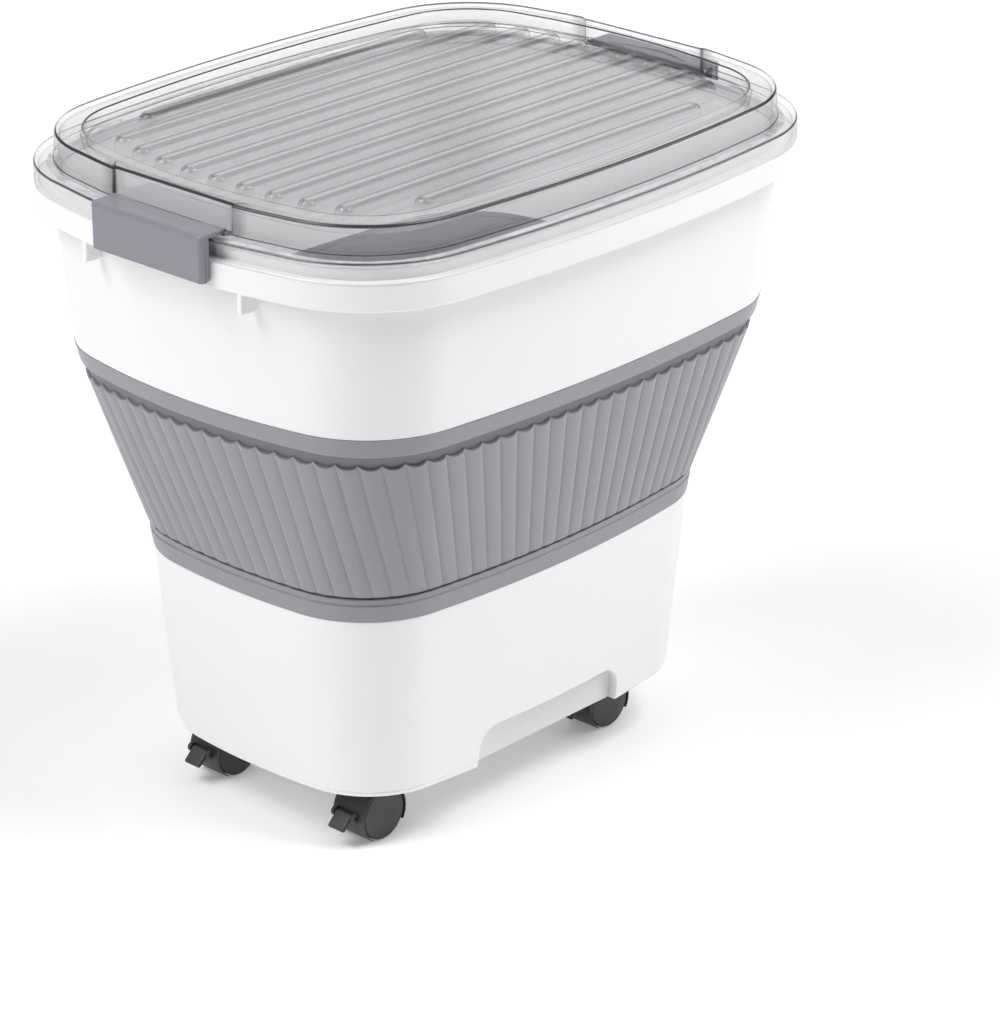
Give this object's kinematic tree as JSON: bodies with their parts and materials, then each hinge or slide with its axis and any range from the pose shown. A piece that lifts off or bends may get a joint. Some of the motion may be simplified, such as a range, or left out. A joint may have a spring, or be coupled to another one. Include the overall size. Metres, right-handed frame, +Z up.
{
  "type": "collapsible rice storage container",
  "caption": "Collapsible food bin on casters: a lower bin and an upper frame joined by a fluted folding wall, under a clear ribbed lid with flap latches.",
  "frame": {"origin": "on the floor under the middle of the bin", "axes": "+X along the long sides and the lid's ribs, +Y across the bin, +Z up"},
  "size_m": [0.4, 0.303, 0.3755],
  "materials": {
    "white_shell": "satin",
    "grey_rubber": "matte",
    "clear_lid": "gloss",
    "seal_rubber": "matte",
    "grey_latch": "satin",
    "caster_plastic": "satin",
    "steel": "bright"
  },
  "bodies": {
    "base": {"base_bin": "white_shell", "lower_collar": "grey_rubber", "folding_wall": "grey_rubber"},
    "frame": {"upper_frame": "white_shell", "upper_collar": "grey_rubber"},
    "lid": {"lid": "clear_lid", "lid_seal": "seal_rubber", "latch_pin_left": "steel", "latch_pin_right": "steel"},
    "latch_left": {"latch_left": "grey_latch"},
    "latch_right": {"latch_right": "grey_latch"},
    "caster_near_left": {"stem_near_left": "steel", "stem_ring_near_left": "steel", "hood_near_left": "caster_plastic", "axle_near_left": "steel"},
    "wheel_front_near_left": {"wheel_front_near_left": "caster_plastic"},
    "wheel_back_near_left": {"wheel_back_near_left": "caster_plastic"},
    "pedal_near_left": {"brake_pedal_near_left": "caster_plastic"},
    "caster_near_right": {"stem_near_right": "steel", "stem_ring_near_right": "steel", "hood_near_right": "caster_plastic", "axle_near_right": "steel"},
    "wheel_front_near_right": {"wheel_front_near_right": "caster_plastic"},
    "wheel_back_near_right": {"wheel_back_near_right": "caster_plastic"},
    "pedal_near_right": {"brake_pedal_near_right": "caster_plastic"},
    "caster_far_left": {"stem_far_left": "steel", "stem_ring_far_left": "steel", "hood_far_left": "caster_plastic", "axle_far_left": "steel"},
    "wheel_front_far_left": {"wheel_front_far_left": "caster_plastic"},
    "wheel_back_far_left": {"wheel_back_far_left": "caster_plastic"},
    "pedal_far_left": {"brake_pedal_far_left": "caster_plastic"},
    "caster_far_right": {"stem_far_right": "steel", "stem_ring_far_right": "steel", "hood_far_right": "caster_plastic", "axle_far_right": "steel"},
    "wheel_front_far_right": {"wheel_front_far_right": "caster_plastic"},
    "wheel_back_far_right": {"wheel_back_far_right": "caster_plastic"},
    "pedal_far_right": {"brake_pedal_far_right": "caster_plastic"}
  },
  "joints": [
    {"name": "collapse", "type": "slide", "parent": "base", "child": "frame", "axis": [0, 0, -1], "range_m": [0, 0.205], "deforming": ["folding_wall"]},
    {"name": "lid_lift", "type": "slide", "parent": "frame", "child": "lid", "axis": [0, 0, 1], "range_m": [0, 0.15]},
    {"name": "latch_left_open", "type": "hinge", "parent": "lid", "child": "latch_left", "pos_m": [-0.1832, 0, 0.3606], "axis": [0, 1, 0], "range_deg": [0, 90]},
    {"name": "latch_right_open", "type": "hinge", "parent": "lid", "child": "latch_right", "pos_m": [0.1832, 0, 0.3606], "axis": [0, -1, 0], "range_deg": [0, 90]},
    {"name": "swivel_near_left", "type": "hinge", "parent": "base", "child": "caster_near_left", "pos_m": [-0.092, -0.056, 0.034], "axis": [0, 0, 1], "continuous": true},
    {"name": "roll_front_near_left", "type": "hinge", "parent": "caster_near_left", "child": "wheel_front_near_left", "pos_m": [-0.103, -0.056, 0.015], "axis": [0, 1, 0], "continuous": true},
    {"name": "roll_back_near_left", "type": "hinge", "parent": "caster_near_left", "child": "wheel_back_near_left", "pos_m": [-0.103, -0.056, 0.015], "axis": [0, 1, 0], "continuous": true},
    {"name": "brake_near_left", "type": "hinge", "parent": "caster_near_left", "child": "pedal_near_left", "pos_m": [-0.122, -0.056, 0.018], "axis": [0, -1, 0], "range_deg": [0, 15]},
    {"name": "swivel_near_right", "type": "hinge", "parent": "base", "child": "caster_near_right", "pos_m": [0.092, -0.056, 0.034], "axis": [0, 0, 1], "continuous": true},
    {"name": "roll_front_near_right", "type": "hinge", "parent": "caster_near_right", "child": "wheel_front_near_right", "pos_m": [0.081, -0.056, 0.015], "axis": [0, 1, 0], "continuous": true},
    {"name": "roll_back_near_right", "type": "hinge", "parent": "caster_near_right", "child": "wheel_back_near_right", "pos_m": [0.081, -0.056, 0.015], "axis": [0, 1, 0], "continuous": true},
    {"name": "brake_near_right", "type": "hinge", "parent": "caster_near_right", "child": "pedal_near_right", "pos_m": [0.062, -0.056, 0.018], "axis": [0, -1, 0], "range_deg": [0, 15]},
    {"name": "swivel_far_left", "type": "hinge", "parent": "base", "child": "caster_far_left", "pos_m": [-0.092, 0.056, 0.034], "axis": [0, 0, 1], "continuous": true},
    {"name": "roll_front_far_left", "type": "hinge", "parent": "caster_far_left", "child": "wheel_front_far_left", "pos_m": [-0.103, 0.056, 0.015], "axis": [0, 1, 0], "continuous": true},
    {"name": "roll_back_far_left", "type": "hinge", "parent": "caster_far_left", "child": "wheel_back_far_left", "pos_m": [-0.103, 0.056, 0.015], "axis": [0, 1, 0], "continuous": true},
    {"name": "brake_far_left", "type": "hinge", "parent": "caster_far_left", "child": "pedal_far_left", "pos_m": [-0.122, 0.056, 0.018], "axis": [0, -1, 0], "range_deg": [0, 15]},
    {"name": "swivel_far_right", "type": "hinge", "parent": "base", "child": "caster_far_right", "pos_m": [0.092, 0.056, 0.034], "axis": [0, 0, 1], "continuous": true},
    {"name": "roll_front_far_right", "type": "hinge", "parent": "caster_far_right", "child": "wheel_front_far_right", "pos_m": [0.081, 0.056, 0.015], "axis": [0, 1, 0], "continuous": true},
    {"name": "roll_back_far_right", "type": "hinge", "parent": "caster_far_right", "child": "wheel_back_far_right", "pos_m": [0.081, 0.056, 0.015], "axis": [0, 1, 0], "continuous": true},
    {"name": "brake_far_right", "type": "hinge", "parent": "caster_far_right", "child": "pedal_far_right", "pos_m": [0.062, 0.056, 0.018], "axis": [0, -1, 0], "range_deg": [0, 15]}
  ]
}
